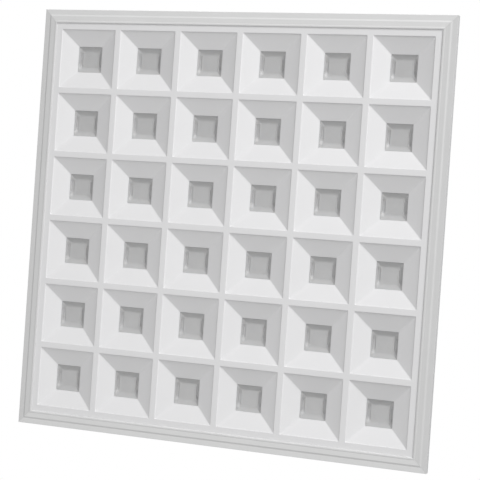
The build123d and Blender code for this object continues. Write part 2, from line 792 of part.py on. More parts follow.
# Driver: a plastic case with a foot at each end
with BuildPart() as led_driver:
    with BuildSketch(Plane.XY.offset(box_floor)):
        with Locations((driver_x, box_centre_y)):
            Rectangle(driver_length, driver_width)
    extrude(amount=driver_height)
    fillet(led_driver.edges().filter_by(Axis.Z), driver_edge)
    fillet(led_driver.faces().sort_by(Axis.Z)[-1].edges(), driver_edge / 2)
    with BuildSketch(Plane.XY.offset(box_floor)):
        with Locations((driver_x, box_centre_y)):
            SlotOverall(driver_length + 2 * driver_foot, driver_foot)
        with Locations((driver_x, box_centre_y)):
            with GridLocations(driver_length + driver_foot, 0, 2, 1):
                Circle(driver_screw_radius + screw_clearance, mode=Mode.SUBTRACT)
    extrude(amount=driver_foot_thickness)
keep(led_driver, "led_driver")

foot_top = box_floor + driver_foot_thickness
with BuildPart() as driver_screws:
    for end in (-1, 1):
        spot_x = driver_x + end * (driver_length + driver_foot) / 2
        recessed_screw(
            Plane((spot_x, box_centre_y, foot_top), z_dir=(0, 0, 1)),
            2 * driver_screw_radius,
            driver_screw_radius,
            driver_screw_radius,
            driver_foot_thickness,
        )
keep(driver_screws, "driver_screws")

# Terminal block with three release buttons
terminal_top = box_floor + terminal_height
shaft_depth = button_depth - button_proud + button_travel + shaft_spare
pole_spots = [(terminal_x, box_centre_y + pole * pole_pitch) for pole in (-1, 0, 1)]
with BuildPart() as terminal_block:
    with BuildSketch(Plane.XY.offset(box_floor)):
        with Locations((terminal_x, box_centre_y)):
            RectangleRounded(terminal_length, terminal_width, terminal_corner)
    extrude(amount=terminal_height)
    with BuildSketch(Plane.XY.offset(terminal_top)):
        with Locations(*pole_spots):
            Rectangle(button_length + 2 * button_clearance, button_width + 2 * button_clearance)
    extrude(amount=-shaft_depth, mode=Mode.SUBTRACT)
    entry_x = terminal_x - terminal_length / 2
    with BuildSketch(Plane((entry_x, 0, 0), x_dir=(0, 1, 0), z_dir=(1, 0, 0))):
        with Locations(*[(spot[1], box_floor + entry_height) for spot in pole_spots]):
            Rectangle(entry_side, entry_side)
    extrude(amount=entry_depth, mode=Mode.SUBTRACT)
keep(terminal_block, "terminal_block")

button_base = terminal_top + button_proud - button_depth
for label, spot in zip(("live", "neutral", "earth"), pole_spots):
    with BuildPart() as button:
        with BuildSketch(Plane.XY.offset(button_base)):
            with Locations(spot):
                Rectangle(button_length, button_width)
        extrude(amount=button_depth)
        chamfer(button.faces().sort_by(Axis.Z)[-1].edges(), button_chamfer)
    keep(button, f"release_button_{label}")

# Leads from the terminal block to the driver, and from the earth pole to the earth screw
lead_z = box_floor + lead_height
lead_start = terminal_x + terminal_length / 2
lead_end = driver_x - driver_length / 2
with BuildPart() as mains_leads:
    for spot in pole_spots[:2]:
        with BuildSketch(Plane((lead_start, spot[1], lead_z), z_dir=(1, 0, 0))):
            Circle(lead_radius)
        extrude(amount=lead_end - lead_start)
keep(mains_leads, "mains_leads")

earth_y = box_centre_y + earth_offset_y
earth_pole_y = pole_spots[2][1]
with BuildPart() as earth_lead:
    with BuildLine():
        earth_path = FilletPolyline(
            (lead_start, earth_pole_y, lead_z),
            (lead_start + earth_lead_run, earth_pole_y, lead_z),
            (earth_x, (earth_pole_y + earth_y) / 2, lead_z - earth_lead_dip),
            (earth_x, earth_y - earth_washer, box_floor + earth_lead_end),
            radius=lead_bend,
        )
    with BuildSketch(Plane(earth_path @ 0, z_dir=earth_path % 0)):
        Circle(lead_radius)
    sweep()
keep(earth_lead, "earth_lead")

with BuildPart() as earth_screw:
    with BuildSketch(Plane((earth_x, earth_y, box_floor), z_dir=(0, 0, 1))):
        Circle(earth_washer)
    extrude(amount=earth_washer_thickness)
    recessed_screw(
        Plane((earth_x, earth_y, box_floor + earth_washer_thickness), z_dir=(0, 0, 1)),
        earth_head,
        earth_head_height,
        earth_radius,
        earth_washer_thickness + sheet,
    )
keep(earth_screw, "earth_screw")

# Grommet and supply lead from the driver down to the first plug
grommet_low = pan_inside - grommet_flange_height
with BuildPart() as grommet:
    with BuildSketch(Plane((grommet_x, grommet_y, grommet_low), z_dir=(0, 0, 1))):
        Circle(grommet_flange)
    extrude(amount=grommet_flange_height)
    with BuildSketch(Plane((grommet_x, grommet_y, pan_inside), z_dir=(0, 0, 1))):
        Circle(grommet_hole - rivet_clearance)
    extrude(amount=2 * sheet)
    with BuildSketch(Plane((grommet_x, grommet_y, box_floor), z_dir=(0, 0, 1))):
        Circle(grommet_flange)
    extrude(amount=grommet_flange_height)
    with Locations(Plane((grommet_x, grommet_y, box_floor + grommet_flange_height))):
        Hole(grommet_bore)
keep(grommet, "grommet")

# Gland: body through the box's end wall, locknut inside and dome nut outside
gland_face = -end_x - gland_flange
hex_radius = gland_hex / math.sqrt(3)
with BuildPart() as gland_body:
    with BuildSketch(Plane((-end_x, box_centre_y, entry_z), z_dir=(-1, 0, 0))):
        RegularPolygon(hex_radius, 6, rotation=gland_turn)
    extrude(amount=gland_flange)
    with BuildSketch(Plane((gland_face, box_centre_y, entry_z), z_dir=(-1, 0, 0))):
        Circle(gland_thread)
    extrude(amount=gland_stem)
    with BuildSketch(Plane((-end_x, box_centre_y, entry_z), z_dir=(1, 0, 0))):
        Circle(gland_thread)
    extrude(amount=gland_tail)
    with Locations(Plane((gland_face - gland_stem, box_centre_y, entry_z), z_dir=(-1, 0, 0))):
        Hole(gland_bore)
keep(gland_body, "gland_body")

with BuildPart() as gland_dome_nut:
    with BuildSketch(Plane((gland_face, box_centre_y, entry_z), z_dir=(-1, 0, 0))):
        RegularPolygon(hex_radius, 6, rotation=gland_turn)
    extrude(amount=gland_nut_height)
    dome_edges = gland_dome_nut.faces().sort_by(Axis.X)[0].edges()
    chamfer(dome_edges, gland_nut_chamfer)
    with Locations(Plane((gland_face - gland_nut_height, box_centre_y, entry_z), z_dir=(-1, 0, 0))):
        Hole(gland_bore)
    with BuildSketch(Plane((gland_face, box_centre_y, entry_z), z_dir=(-1, 0, 0))):
        Circle(gland_thread + gland_nut_clearance)
    extrude(amount=gland_stem + gland_nut_clearance, mode=Mode.SUBTRACT)
keep(gland_dome_nut, "gland_dome_nut")

locknut_x = -end_x + sheet
with BuildPart() as gland_locknut:
    with BuildSketch(Plane((locknut_x, box_centre_y, entry_z), z_dir=(1, 0, 0))):
        RegularPolygon(hex_radius, 6, rotation=gland_turn)
        Circle(gland_thread + gland_nut_clearance, mode=Mode.SUBTRACT)
    extrude(amount=locknut_height)
keep(gland_locknut, "gland_locknut")

with BuildPart() as blanking_plugs:
    for across in (-1, 1):
        plug_y = box_centre_y + across * plug_spacing / 2
        with BuildSketch(Plane((end_x, plug_y, entry_z), z_dir=(1, 0, 0))):
            Circle(plug_cap)
        extrude(amount=plug_wall)
        with BuildSketch(Plane((end_x, plug_y, entry_z), z_dir=(-1, 0, 0))):
            Circle(plug_radius)
            Circle(plug_radius - plug_wall, mode=Mode.SUBTRACT)
        extrude(amount=plug_depth)
keep(blanking_plugs, "blanking_plugs")

# Swing-out clips: at rest each arm lies along the frame, and it turns out over the ceiling grid
clip_foot_z = pan_back + clip_gap
for number, (spot, turn) in enumerate(zip(clip_spots, (90, -90, -90, 90)), start=1):
    arm = Vector(math.cos(math.radians(turn)), math.sin(math.radians(turn)), 0)
    across = Vector(0, 0, 1).cross(arm)
    clip_plane = Plane(origin=Vector(*spot, 0) - across * (clip_width / 2), x_dir=arm, z_dir=-across)
    with BuildPart() as clip:
        with BuildSketch(clip_plane):
            with BuildLine():
                Polyline(
                    (-clip_width / 2, clip_foot_z),
                    (clip_rise_start + clip_thickness, clip_foot_z),
                    (clip_rise_start + clip_thickness, clip_arm_z),
                    (clip_reach, clip_arm_z),
                    (clip_reach, clip_arm_z + clip_lip),
                    (clip_reach - clip_thickness, clip_arm_z + clip_lip),
                    (clip_reach - clip_thickness, clip_arm_z + clip_thickness),
                    (clip_rise_start, clip_arm_z + clip_thickness),
                    (clip_rise_start, clip_foot_z + clip_thickness),
                    (-clip_width / 2, clip_foot_z + clip_thickness),
                    close=True,
                )
            make_face()
        extrude(amount=-clip_width)
        with Locations(Plane((*spot, clip_foot_z + clip_thickness), z_dir=(0, 0, 1))):
            Hole(clip_rivet_radius + turning_clearance, depth=2 * clip_thickness)
    keep(clip, f"tee_clip_{number}")

with BuildPart() as clip_rivets:
    for spot in clip_spots:
        place = Plane((*spot, clip_foot_z + clip_thickness + clip_gap), z_dir=(0, 0, 1))
        round_rivet(place, clip_thickness + 2 * clip_gap + 2 * sheet, clip_rivet_head, clip_rivet_radius)
keep(clip_rivets, "clip_rivets")

# Hanger tabs: a foot on the pan, a step up and a ledge with the wire hole
tab_top = pan_back + tab_rise
with BuildPart() as hanger_tabs:
    for across in (-1, 1):
        for deep in (-1, 1):
            tab_x = across * tab_span_x / 2
            tab_y = deep * tab_span_y / 2
            origin = (tab_x, tab_y + across * tab_width / 2, 0)
            with BuildSketch(Plane(origin, x_dir=(across, 0, 0), z_dir=(0, -across, 0))):
                with BuildLine():
                    Polyline(
                        (-tab_length / 2 - tab_foot, pan_back),
                        (-tab_length / 2 + tab_thickness, pan_back),
                        (-tab_length / 2 + tab_thickness, tab_top - tab_thickness),
                        (tab_length / 2, tab_top - tab_thickness),
                        (tab_length / 2, tab_top),
                        (-tab_length / 2, tab_top),
                        (-tab_length / 2, pan_back + tab_thickness),
                        (-tab_length / 2 - tab_foot, pan_back + tab_thickness),
                        close=True,
                    )
                make_face()
            extrude(amount=tab_width)
    with Locations(Plane.XY.offset(tab_top)):
        with GridLocations(tab_span_x, tab_span_y, 2, 2):
            Hole(tab_hole, depth=2 * tab_thickness)
    with Locations(Plane.XY.offset(pan_back + tab_thickness)):
        with Locations(*tab_rivet_spots):
            Hole(rivet_radius + rivet_clearance, depth=tab_thickness)
keep(hanger_tabs, "hanger_tabs")

# Supply lead: along the box from the driver, down the grommet and across to the plug of the second board
driver_end = driver_x + driver_length / 2
supply_z = box_floor + lead_height + supply_radius
supply_low = pan_inside - supply_drop
plug_row_y = cell_positions()[1]
with BuildPart() as supply_lead:
    with BuildLine():
        supply_path = FilletPolyline(
            (driver_end, grommet_y, supply_z),
            (grommet_x, grommet_y, supply_z),
            (grommet_x, grommet_y, supply_low),
            (connector_x - connector_width / 2 - supply_run, plug_row_y, supply_low),
            (connector_x - connector_width / 2, plug_row_y, supply_low),
            radius=supply_bend,
        )
    with BuildSketch(Plane(supply_path @ 0, z_dir=supply_path % 0)):
        Circle(supply_radius)
    sweep()
keep(supply_lead, "supply_lead")
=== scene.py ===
import math

import bmesh
import bpy
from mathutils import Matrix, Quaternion, Vector


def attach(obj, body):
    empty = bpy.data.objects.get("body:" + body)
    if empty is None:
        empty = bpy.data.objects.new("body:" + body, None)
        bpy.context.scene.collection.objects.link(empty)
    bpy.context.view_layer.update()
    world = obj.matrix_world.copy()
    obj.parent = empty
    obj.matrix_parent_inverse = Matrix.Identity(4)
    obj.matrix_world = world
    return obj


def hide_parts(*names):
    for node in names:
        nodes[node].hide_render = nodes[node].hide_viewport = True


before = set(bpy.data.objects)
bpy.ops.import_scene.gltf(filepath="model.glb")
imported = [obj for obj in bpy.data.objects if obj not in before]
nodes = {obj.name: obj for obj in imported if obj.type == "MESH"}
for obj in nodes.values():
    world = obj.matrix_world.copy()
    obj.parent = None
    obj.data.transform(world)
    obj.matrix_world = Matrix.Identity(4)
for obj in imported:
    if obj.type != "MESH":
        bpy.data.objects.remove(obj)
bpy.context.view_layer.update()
mm = 0.001
weldDistance = 0.00001  # points nearer than this become one, in metres
closeTo = 0.000005  # a point this near a line or a height counts as on it, in metres
print("frame loaded:", len(nodes), "nodes")


# finishes: each is built from its nodes, with object coordinates in metres

def startFinish(name):
    finish = bpy.data.materials.new(name)
    finish.use_nodes = True
    tree = finish.node_tree
    shader = tree.nodes["Principled BSDF"]
    place = tree.nodes.new("ShaderNodeTexCoord").outputs["Object"]
    return finish, tree, shader, place


def noiseOf(tree, place, size, detail=2.0, stretch=(1, 1, 1)):
    # size is the width of one patch of the noise, in metres
    spread = tree.nodes.new("ShaderNodeMapping")
    spread.inputs["Scale"].default_value = stretch
    tree.links.new(place, spread.inputs["Vector"])
    noise = tree.nodes.new("ShaderNodeTexNoise")
    noise.inputs["Scale"].default_value = 1.0 / size
    noise.inputs["Detail"].default_value = detail
    tree.links.new(spread.outputs["Vector"], noise.inputs["Vector"])
    return noise.outputs["Fac"]


def rangeOf(tree, value, low, high, fromLow=0.3, fromHigh=0.7):
    scaled = tree.nodes.new("ShaderNodeMapRange")
    scaled.inputs["From Min"].default_value = fromLow
    scaled.inputs["From Max"].default_value = fromHigh
    scaled.inputs["To Min"].default_value = low
    scaled.inputs["To Max"].default_value = high
    tree.links.new(value, scaled.inputs["Value"])
    return scaled.outputs["Result"]


def colourRamp(tree, value, dark, light, low=0.3, high=0.7):
    ramp = tree.nodes.new("ShaderNodeValToRGB")
    ramp.color_ramp.elements[0].position = low
    ramp.color_ramp.elements[0].color = (*dark, 1)
    ramp.color_ramp.elements[1].position = high
    ramp.color_ramp.elements[1].color = (*light, 1)
    tree.links.new(value, ramp.inputs["Fac"])
    return ramp.outputs["Color"]


def bumpOn(tree, shader, heights, strength, depth):
    # the heights lie one on another, each with its share of the strength
    normal = None
    for height, share in heights:
        bump = tree.nodes.new("ShaderNodeBump")
        bump.inputs["Strength"].default_value = strength * share
        bump.inputs["Distance"].default_value = depth
        tree.links.new(height, bump.inputs["Height"])
        if normal is not None:
            tree.links.new(normal, bump.inputs["Normal"])
        normal = bump.outputs["Normal"]
    tree.links.new(normal, shader.inputs["Normal"])


def tint(colour, factor):
    return tuple(min(1.0, part * factor) for part in colour)


def colourOn(tree, shader, value, look):
    # the finish's colour, darker and lighter by its shade where the noise is low and high
    dark, light = tint(look["colour"], 1 - look["shade"]), tint(look["colour"], 1 + look["shade"])
    tree.links.new(colourRamp(tree, value, dark, light), shader.inputs["Base Color"])


def roughnessOn(tree, shader, value, rough, uneven, *reach):
    gloss = rangeOf(tree, value, rough - uneven, rough + uneven, *reach)
    tree.links.new(gloss, shader.inputs["Roughness"])


# what all finishes of a kind share: how uneven the gloss is, and how deep the relief
coatDetail = {"uneven": 0.05, "dustShare": 0.4, "depth": 0.12}  # depth as a share of the peel
mouldDetail = {"uneven": 0.06, "depth": 0.15, "reach": (1.0, 0.95, 0.9), "glow": 0.001}
metalDetail = {"stainShare": 0.5, "depth": 0.00008}  # depth in metres


def coated(name, look):
    # powder coat and coil coat: cloudy colour, orange peel, a little uneven gloss
    finish, tree, shader, place = startFinish(name)
    cloud = noiseOf(tree, place, look["cloud"], detail=3.0)
    peel = noiseOf(tree, place, look["peel"], detail=1.0)
    dust = noiseOf(tree, place, look["dust"])
    colourOn(tree, shader, cloud, look)
    roughnessOn(tree, shader, dust, look["rough"], coatDetail["uneven"])
    shader.inputs["Specular IOR Level"].default_value = look["gloss"]
    bumpOn(tree, shader, [(peel, 1.0), (dust, coatDetail["dustShare"])], look["relief"],
           look["peel"] * coatDetail["depth"])
    return finish


def moulded(name, look):
    # injection moulding: fine spark-eroded grain, slight flow shading, a trace of light inside
    finish, tree, shader, place = startFinish(name)
    flow = noiseOf(tree, place, look["flow"])
    grain = noiseOf(tree, place, look["grain"])
    colourOn(tree, shader, flow, look)
    roughnessOn(tree, shader, grain, look["rough"], mouldDetail["uneven"])
    shader.inputs["Specular IOR Level"].default_value = look["gloss"]
    shader.inputs["Subsurface Weight"].default_value = look.get("inside", 0.0)
    shader.inputs["Subsurface Radius"].default_value = mouldDetail["reach"]
    shader.inputs["Subsurface Scale"].default_value = look.get("glow", mouldDetail["glow"])
    bumpOn(tree, shader, [(grain, 1.0)], look["relief"], look["grain"] * mouldDetail["depth"])
    return finish


def metal(name, look):
    # plated sheet and wire: drawn lines along one way, spangle, stain patches, worn gloss
    finish, tree, shader, place = startFinish(name)
    lines = noiseOf(tree, place, look["line"], stretch=look["along"])
    stain = noiseOf(tree, place, look["stain"], detail=3.0)
    spangle = tree.nodes.new("ShaderNodeTexVoronoi")
    spangle.inputs["Scale"].default_value = 1.0 / look["spangle"]
    tree.links.new(place, spangle.inputs["Vector"])
    patches = tree.nodes.new("ShaderNodeSeparateColor")
    tree.links.new(spangle.outputs["Color"], patches.inputs["Color"])
    colourOn(tree, shader, stain, look)
    shader.inputs["Metallic"].default_value = 1.0
    roughnessOn(tree, shader, patches.outputs["Red"], look["rough"], look["patchy"], 0, 1)
    bumpOn(tree, shader, [(lines, 1.0), (stain, metalDetail["stainShare"])], look["relief"],
           metalDetail["depth"])
    return finish


railCoat = {"shade": 0.012, "cloud": 0.05, "peel": 0.0016, "dust": 0.0005,
            "rough": 0.52, "gloss": 0.38, "relief": 0.10}
coatLooks = {
    "frameCoat": {"colour": (0.76, 0.761, 0.763), **railCoat},
    # the side rails' coat is the rail coat made darker: painted shade, so the side rails look
    # less lit than the back and front
    "frameCoatPaintedShade": {"colour": (0.68, 0.681, 0.683), **railCoat},
    "panCoat": {"colour": (0.72, 0.725, 0.73), "shade": 0.02, "cloud": 0.09, "peel": 0.0022,
                "dust": 0.0006, "rough": 0.46, "gloss": 0.45, "relief": 0.12},
    "boardMask": {"colour": (0.80, 0.81, 0.80), "shade": 0.015, "cloud": 0.02, "peel": 0.003,
                  "dust": 0.0004, "rough": 0.34, "gloss": 0.5, "relief": 0.06},
}
leadCover = {"flow": 0.004, "grain": 0.0003, "rough": 0.42, "gloss": 0.45, "relief": 0.1}
mouldLooks = {
    "louvreWhite": {"colour": (0.81, 0.808, 0.818), "shade": 0.008, "flow": 0.06,
                    "grain": 0.0004, "rough": 0.62, "gloss": 0.30, "relief": 0.12},
    "opalLens": {"colour": (0.545, 0.545, 0.548), "shade": 0.015, "flow": 0.012,
                 "grain": 0.0009, "rough": 0.40, "gloss": 0.40, "relief": 0.05,
                 "inside": 0.7, "glow": 0.002},
    "naturalNylon": {"colour": (0.62, 0.61, 0.56), "shade": 0.03, "flow": 0.01,
                     "grain": 0.0003, "rough": 0.38, "gloss": 0.5, "relief": 0.08,
                     "inside": 0.3},
    "whiteNylon": {"colour": (0.74, 0.74, 0.72), "shade": 0.02, "flow": 0.01, "grain": 0.0003,
                   "rough": 0.42, "gloss": 0.45, "relief": 0.08, "inside": 0.2},
    "driverCase": {"colour": (0.56, 0.57, 0.58), "shade": 0.02, "flow": 0.03, "grain": 0.0005,
                   "rough": 0.55, "gloss": 0.4, "relief": 0.22},
    "terminalGrey": {"colour": (0.42, 0.43, 0.44), "shade": 0.03, "flow": 0.015,
                     "grain": 0.0004, "rough": 0.5, "gloss": 0.42, "relief": 0.15},
    "buttonOrange": {"colour": (0.78, 0.19, 0.025), "shade": 0.04, "flow": 0.006,
                     "grain": 0.0003, "rough": 0.4, "gloss": 0.5, "relief": 0.1},
    "glandGrey": {"colour": (0.36, 0.37, 0.38), "shade": 0.03, "flow": 0.012, "grain": 0.0004,
                  "rough": 0.52, "gloss": 0.42, "relief": 0.18},
    "blackRubber": {"colour": (0.018, 0.018, 0.019), "shade": 0.15, "flow": 0.008,
                    "grain": 0.0005, "rough": 0.62, "gloss": 0.35, "relief": 0.3},
    "phosphorYellow": {"colour": (0.80, 0.58, 0.08), "shade": 0.03, "flow": 0.002,
                       "grain": 0.0002, "rough": 0.35, "gloss": 0.5, "relief": 0.1,
                       "inside": 0.2},
    "leadBlack": {"colour": (0.02, 0.02, 0.021), "shade": 0.1, **leadCover},
    "leadRed": {"colour": (0.50, 0.018, 0.014), "shade": 0.06, **leadCover},
    "leadBrown": {"colour": (0.12, 0.045, 0.018), "shade": 0.06, **leadCover},
    "leadGreen": {"colour": (0.03, 0.24, 0.05), "shade": 0.06, **leadCover},
}
metalLooks = {
    "zincSpring": {"colour": (0.55, 0.56, 0.58), "shade": 0.06, "line": 0.0006,
                   "along": (1, 0.06, 1), "stain": 0.012, "spangle": 0.004, "rough": 0.36,
                   "patchy": 0.05, "relief": 0.25},
    "platedSteel": {"colour": (0.60, 0.61, 0.63), "shade": 0.05, "line": 0.0004,
                    "along": (1, 1, 0.1), "stain": 0.004, "spangle": 0.002, "rough": 0.30,
                    "patchy": 0.05, "relief": 0.2},
    "rivetAluminium": {"colour": (0.72, 0.73, 0.74), "shade": 0.04, "line": 0.0004,
                       "along": (1, 1, 1), "stain": 0.003, "spangle": 0.002, "rough": 0.34,
                       "patchy": 0.04, "relief": 0.15},
    "brassPlate": {"colour": (0.68, 0.50, 0.20), "shade": 0.08, "line": 0.0003,
                   "along": (1, 1, 0.2), "stain": 0.003, "spangle": 0.002, "rough": 0.32,
                   "patchy": 0.05, "relief": 0.15},
}
finishes = {name: coated(name, look) for name, look in coatLooks.items()}
finishes.update({name: moulded(name, look) for name, look in mouldLooks.items()})
finishes.update({name: metal(name, look) for name, look in metalLooks.items()})
print("finishes made:", len(finishes))


# shape helpers that the frame, the louvre and the lens share

def filleted(corners, steps=3):
    # corners are (across, height, radius); one with a radius becomes an arc of so many steps
    line = []
    count = len(corners)
    for i, (across, height, radius) in enumerate(corners):
        here = Vector((across, height))
        if radius <= 0 or i in (0, count - 1):
            line.append(here)
            continue
        toLast = (Vector(corners[i - 1][:2]) - here).normalized()
        toNext = (Vector(corners[i + 1][:2]) - here).normalized()
        turn = toLast.angle(toNext)
        reach = radius / math.tan(turn / 2)
        centre = here + (toLast + toNext).normalized() * (radius / math.sin(turn / 2))
        start, end = here + toLast * reach - centre, here + toNext * reach - centre
        for k in range(steps + 1):
            arm = start.lerp(end, k / steps)
            line.append(centre + arm.normalized() * radius)
    return line


def squareRing(halfX, halfY, radius, sides, arc):
    # a rounded rectangle round the origin, from the right side's low end, turning left,
    # with so many points along each side and each corner's arc
    ring = []
    halves = (halfX, halfY)
    for side in range(4):
        turned = Quaternion((0, 0, 1), side * math.pi / 2).to_matrix()
        across, along = halves[side % 2], halves[1 - side % 2] - radius
        for k in range(sides):
            ring.append((turned @ Vector((across, along * (2 * k / sides - 1), 0))).xy)
        for k in range(arc):
            angle = k / arc * math.pi / 2
            ring.append((turned @ Vector((across - radius + radius * math.cos(angle),
                                          along + radius * math.sin(angle), 0))).xy)
    return ring


def outerRing(lowX, highX, lowY, highY, sides, arc):
    # a cell's share of a flat plate, with as many points as the ring in it; cells side by
    # side have the same points on the edge that they share
    corners = [Vector((highX, lowY)), Vector((highX, highY)),
               Vector((lowX, highY)), Vector((lowX, lowY))]
    step = 1 / (sides + arc)
    ring = []
    for side in range(4):
        start, end = corners[side], corners[(side + 1) % 4]
        for k in range(sides + arc):
            # half of each corner's arc lies on either side of the plate's corner
            share = (k + arc / 2) * step
            if share < 1:
                ring.append(start.lerp(end, share))
            else:
                ring.append(end.lerp(corners[(side + 2) % 4], share - 1))
    return ring


def finishMesh(mesh, name, finish, sharpAngle):
    # smooth shading with clean flats, sharp over the angle, and the piece is in the scene
    bmesh.ops.recalc_face_normals(mesh, faces=mesh.faces)
    for face in mesh.faces:
        face.smooth = True
    data = bpy.data.meshes.new(name)
    mesh.to_mesh(data)
    mesh.free()
    data.set_sharp_from_angle(angle=math.radians(sharpAngle))
    data.materials.append(finishes[finish])
    piece = bpy.data.objects.new(name, data)
    bpy.context.scene.collection.objects.link(piece)
    weighted = piece.modifiers.new("evenShading", "WEIGHTED_NORMAL")
    weighted.keep_sharp = True
    weighted.weight = 90  # in percent: the large flats lead
    return piece


# frame: four mitred extrusions

frameLook = {
    "side": 0.595,
    "mitreGap": 0.00006,
    "sharpAngle": 35,
    # the side rails take the darker copy of the coat, which is painted shade; the back and front
    # take the plain coat
    "coats": ("frameCoatPaintedShade", "frameCoat"),  # side rails, then back and front
    "section": [  # distance in from the outer edge, height, corner radius, all in mm
        (6.0, 1.3, 0), (0, 1.3, 0.45), (0, 11.3, 0.3), (1.3, 11.3, 0.3), (1.3, 2.7, 0.3),
        (9.8, 2.7, 0.2), (9.8, 9.0, 0.3), (13.6, 9.0, 0.3), (13.6, 1.5, 0.2),
        (19.0, 1.5, 0.2), (19.0, 0, 0.8), (16.6, 0, 0.25), (16.2, 0.4, 0.2),
        (9.5, 0.4, 1.2), (7.3, 1.3, 1.2), (6.0, 1.3, 0)],
}


def frameRail(name, node, turns):
    look = frameLook
    half = look["side"] / 2
    section = filleted(look["section"])[:-1]
    mesh = bmesh.new()
    spin = Quaternion((0, 0, 1), turns * math.pi / 2).to_matrix()
    ends = []
    for way in (-1, 1):
        loop = []
        for across, height in section:
            reach = half - across * mm
            along = way * (reach - look["mitreGap"])
            loop.append(mesh.verts.new(spin @ Vector((reach, along, height * mm))))
        ends.append(loop)
    near, far = ends
    count = len(section)
    for i in range(count):
        j = (i + 1) % count
        mesh.faces.new((near[i], near[j], far[j], far[i]))
    for loop in ends:
        mesh.faces.new(loop)
    rail = finishMesh(mesh, name, look["coats"][turns % 2], look["sharpAngle"])
    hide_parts(node)
    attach(rail, "housing")


for turns, side in enumerate(("right", "back", "left", "front")):
    frameRail("frameRail." + side, "frame_rail_" + side, turns)
print("frame made")


# louvre: one seamless moulding of square cells

louvreLook = {
    "cells": 6,
    "pitch": 0.0912,
    "cell": [  # half width, height and radius, from the face round the rim, down the slope,
               # up the neck and back over, in mm as all that follows
        (43.3, 1.5, 0), (41.05, 1.5, 0.75), (41.05, 2.5, 0.25), (18.15, 11.7, 0.6),
        (18.15, 19.2, 0.15), (19.55, 19.2, 0.15), (19.55, 13.0, 0.6), (42.2, 3.9, 0.5),
        (42.2, 2.9, 0.2), (43.3, 2.9, 0)],
    "plateFace": 1.5,
    "plateBack": 2.9,
    "neckBack": 19.2,
    "mouthCorner": 0.9,
    "neckCorner": 1.0,
    "sidePoints": 4,
    "arcPoints": 4,
    "edge": [(281.6, 1.5, 0), (283.6, 1.5, 0.5), (283.6, 9.0, 0.3), (282.2, 9.0, 0.3),
             (282.2, 2.9, 0.3), (281.6, 2.9, 0)],
    "sharpAngle": 38,
}


def cellSpan(place, last, middle, pitch, limit):
    # how far one cell's plate reaches: to the next cell, or to the plate's own edge
    return (-limit if place == 0 else middle - pitch / 2,
            limit if place == last else middle + pitch / 2)


def louvreCell(mesh, row, column, profile, limit):
    look = louvreLook
    pitch, last = look["pitch"], look["cells"] - 1
    sides, arc = look["sidePoints"], look["arcPoints"]
    centre = Vector(((column - last / 2) * pitch, (row - last / 2) * pitch))
    border = outerRing(*cellSpan(column, last, centre.x, pitch, limit),
                       *cellSpan(row, last, centre.y, pitch, limit), sides, arc)
    rings = [[mesh.verts.new((p.x, p.y, look["plateFace"] * mm)) for p in border]]
    for half, height in profile[1:-1]:
        depth = (height - look["plateFace"]) / (look["neckBack"] - look["plateFace"])
        radius = look["mouthCorner"] + (look["neckCorner"] - look["mouthCorner"]) * depth
        rings.append([mesh.verts.new((centre.x + x * mm, centre.y + y * mm, height * mm))
                      for x, y in squareRing(half, half, radius, sides, arc)])
    rings.append([mesh.verts.new((p.x, p.y, look["plateBack"] * mm)) for p in border])
    size = len(border)
    for near, far in zip(rings, rings[1:]):
        for i in range(size):
            j = (i + 1) % size
            mesh.faces.new((near[i], near[j], far[j], far[i]))


def plateLoop(mesh, limit, height):
    # the points on the plate's outer edge at one height, in order round the louvre
    loop = [v for v in mesh.verts if max(abs(v.co.x), abs(v.co.y)) > limit - closeTo
            and abs(v.co.z - height) < closeTo]
    return sorted(loop, key=lambda v: math.atan2(v.co.y, v.co.x))


def louvreLip(mesh, limit):
    # the outer edge: a lip that turns up beside the frame
    look = louvreLook
    face = plateLoop(mesh, limit, look["plateFace"] * mm)
    back = plateLoop(mesh, limit, look["plateBack"] * mm)
    rings = [face]
    for across, height in filleted(look["edge"])[1:-1]:
        grown = across * mm / limit
        ring = []
        for v in face:
            x, y = (part * grown if abs(abs(part) - limit) < weldDistance else part
                    for part in v.co.xy)
            ring.append(mesh.verts.new((x, y, height * mm)))
        rings.append(ring)
    rings.append(back)
    size = len(face)
    for near, far in zip(rings, rings[1:]):
        for i in range(size):
            j = (i + 1) % size
            mesh.faces.new((near[i], near[j], far[j], far[i]))


def louvreGrid():
    look = louvreLook
    count = look["cells"]
    limit = look["edge"][0][0] * mm
    profile = filleted(look["cell"])
    mesh = bmesh.new()
    for row in range(count):
        for column in range(count):
            louvreCell(mesh, row, column, profile, limit)
    bmesh.ops.remove_doubles(mesh, verts=mesh.verts, dist=weldDistance)
    louvreLip(mesh, limit)
    grid = finishMesh(mesh, "louvreGrid", "louvreWhite", look["sharpAngle"])
    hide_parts(*["louvre_row_%d" % (row + 1) for row in range(count)])
    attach(grid, "housing")


louvreGrid()
print("louvre made")


# lens: an opal insert in each opening, on six strips

lensLook = {
    "cells": 6,
    "pitch": 0.0912,
    "plateHalf": (249.05, 21.05),  # mm, as all the lengths that follow
    "plateHeights": (19.2, 20.7),
    "insertHalf": 18.05,
    "corner": 1.5,
    "rimHeight": 12.1,
    "floorHeight": 15.7,
    "rimWidth": 0.15,
    "coveWidth": 7.0,
    "coveCurve": 1.35,  # 1 is a straight slope, more is rounder at the floor
    "crown": 0.25,
    "crownSpread": 150,  # square of the crown's radius
    "pocket": {"near": 12.6, "far": 16.8, "reach": 9.6, "floor": 16.9, "edge": 0.5,
               "endEdge": 4.6},
    "steps": 44,
    "sharpAngle": 50,
}


def softStep(value, low, high):
    share = min(1.0, max(0.0, (value - low) / (high - low)))
    return share * share * (3 - 2 * share)


